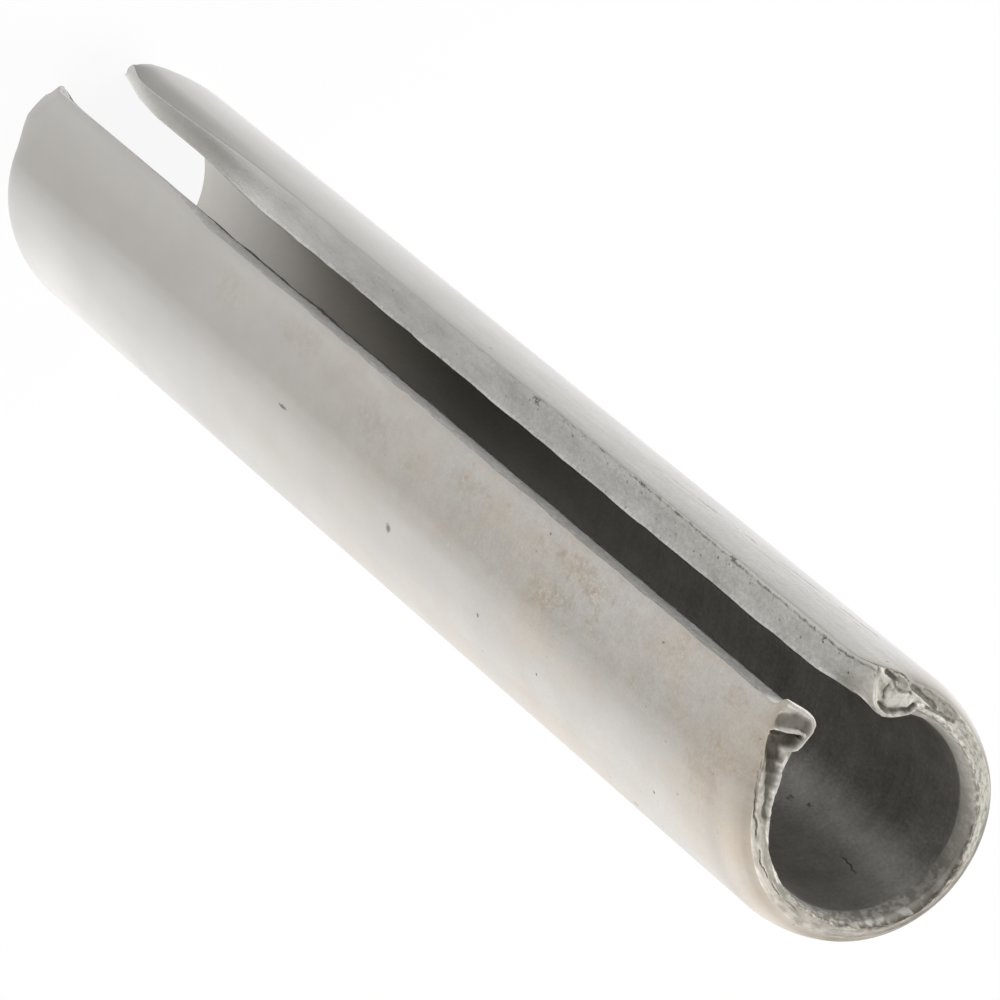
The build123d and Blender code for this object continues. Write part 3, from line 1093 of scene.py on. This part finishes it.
# %% The bore
strip = steel("bore_skin")
across, depth, along = strip.parts()
cloud = strip.cloudy(1.2, 1.0, 0.8, 7.0, detail=5)
scale = strip.cloudy(14, 10, 10, detail=4)
lapping = strip.cloudy(0.8, 1.0, 9, 6.0, detail=4, distortion=0.5)
# painted highlight: the bore is lighter from its middle towards one side
painted_bore_highlight = across.graded([
    (-3.0, 0.45), (-1.4, 0.30), (-0.8, 0.32), (0.2, 0.62), (1.4, 0.60), (3.0, 0.72),
], low=-3.2, high=3.2)
in_focus = along.ramp(-6, 10) * 0.9 + 0.1
shade = painted_bore_highlight + (cloud * 0.9 + scale * 0.75 + lapping * 0.35) * in_focus
colour = shade.mixed((0.26, 0.246, 0.230, 1), (0.70, 0.680, 0.642, 1))
print("the bore's plain colour:", len(colour.tree.nodes), "nodes")

# %% [markdown]
# ## The mouth and the marks in the bore
# The bevel that opens the mouth is brighter on the folded lip's side and mottled dark all round,
# and the folded lip's edge at the slot is brown. One dark scratch and two specks lie where the
# photograph shows them.

# %% The mouth and the marks in the bore
mottle = strip.scaled(5, 5, 5, 2.0).noise(detail=4, roughness=0.6)
bevelled = along.ramp(15.5, 15.60)
bright_side = across.ramp(-0.9, -1.9)
bevel_colour = (shade - 0.5 + painted_bore_highlight * 0.4).mixed((0.44, 0.42, 0.385, 1), (0.56, 0.55, 0.525, 1))
colour = (bevelled * (0.35 + bright_side * 0.40)).mixed(colour, bevel_colour)
colour = painted(
    colour,
    (bevelled * mottle.ramp(0.58, 0.44) * (0.6 - bright_side * 0.35), (0.20, 0.185, 0.155)),
    (along.ramp(15.88, 15.97) * mottle.ramp(0.62, 0.44) * 0.7, (0.15, 0.13, 0.10)),
    (across.ramp(-6.05, -6.50) * along.ramp(-8, 0) * 0.8, (0.19, 0.135, 0.110)),
)
# painted light and shade along the bore: darker below the middle, lighter above it, and lightest at the
# foot
colour = tinted(
    colour,
    (along.ramp(-12.8, -9.4) * along.ramp(1, -5), (0.66, 0.65, 0.63)),
    (along.ramp(-5, 0) * along.ramp(13, 10), (1.15, 1.155, 1.18)),
    (along.ramp(-12, -16) * 0.8, (1.5, 1.5, 1.5)),
)

scratch_bend = (along - 14.05) * 0.16 + strip.cloudy(0.01, 0.01, 6, 4.0, detail=3) * 0.16
scratch = (across - 0.06 - scratch_bend).absolute().ramp(0.030, 0.008)
scratch = scratch * along.ramp(13.66, 13.80) * along.ramp(14.46, 14.25)
first_speck = (across + 0.23).absolute().ramp(0.09, 0.03) * (along - 11.4).absolute().ramp(0.14, 0.05)
second_speck = (across + 0.39).absolute().ramp(0.06, 0.02) * (along - 11.9).absolute().ramp(0.10, 0.04)
marks = scratch * 0.85 + (first_speck + second_speck) * mottle.ramp(0.62, 0.46) * 0.8
colour = painted(colour, (marks, (0.09, 0.075, 0.065)))
finish(colour, 0.48 + scale * 0.10 + bevelled * 0.22, scale + bevelled * mottle - scratch, 0.0000025)

# %% [markdown]
# ## The cropped end
# The end was cut to length before the pin was rolled. Where the taper tool rolled its edge over,
# it is as smooth as the skin. Beside the folded lip it is still the rough cut, cream and pitted.
# The folds are painted dark, as grime and as painted shade, and the ridges and burrs are painted
# bright, as rubbed steel and as painted highlight.

# %% The cropped end
strip = steel("cropped_end")
across, depth, along = strip.parts()
grime, rubbed = marked(strip, "grime"), marked(strip, "rubbed")
pits = strip.scaled(6, 7, 5).noise(detail=5, roughness=0.62)
patches = strip.scaled(2.5, 5, 1, 3.0).noise(detail=3)
rough_cut = (across + (patches - 0.5) * 2.0).ramp(-0.6, -2.2)
pitted = pits.ramp(0.36, 0.56).mixed((0.27, 0.26, 0.225, 1), (0.47, 0.455, 0.415, 1))
smooth = (patches * 0.5 + pits * 0.5).ramp(0.36, 0.64)
smooth = smooth.mixed((0.29, 0.270, 0.238, 1), (0.47, 0.445, 0.400, 1))
colour = rough_cut.mixed(smooth, pitted)
outer_rim = depth.ramp(0.34, 0.08) * across.ramp(1.1, 0.1) * across.ramp(-3.2, -2.2)
crumbled = depth.ramp(0.28, 0.42) * across.ramp(-2.0, -1.1) * across.ramp(1.3, 0.4)
colour = tinted(
    colour,
    (outer_rim, (0.54, 0.54, 0.54)),
    (crumbled * pits.ramp(0.66, 0.46), (0.46, 0.45, 0.43)),
)
inner_rim = depth.ramp(0.46, 0.58) * across.ramp(3.4, 2.6)
# painted shade in the folds and painted highlight on the ridges and burrs, together with grime and
# rubbing
colour = painted(
    colour,
    (inner_rim * pits.ramp(0.60, 0.42) * 0.7, (0.13, 0.115, 0.090)),
    (rubbed * 0.9, (0.50, 0.49, 0.465)),
    (grime * (pits * 0.6 + 0.72), (0.085, 0.078, 0.064)),
)
finish(colour, pits * 0.2 + 0.62, pits * (rough_cut * 0.8 + 0.2), 0.000015)
print("finishes:", [material.name for material in pin.data.materials])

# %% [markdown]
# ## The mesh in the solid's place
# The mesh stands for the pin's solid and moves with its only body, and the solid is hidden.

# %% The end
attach(pin, "root")
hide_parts(PIN)
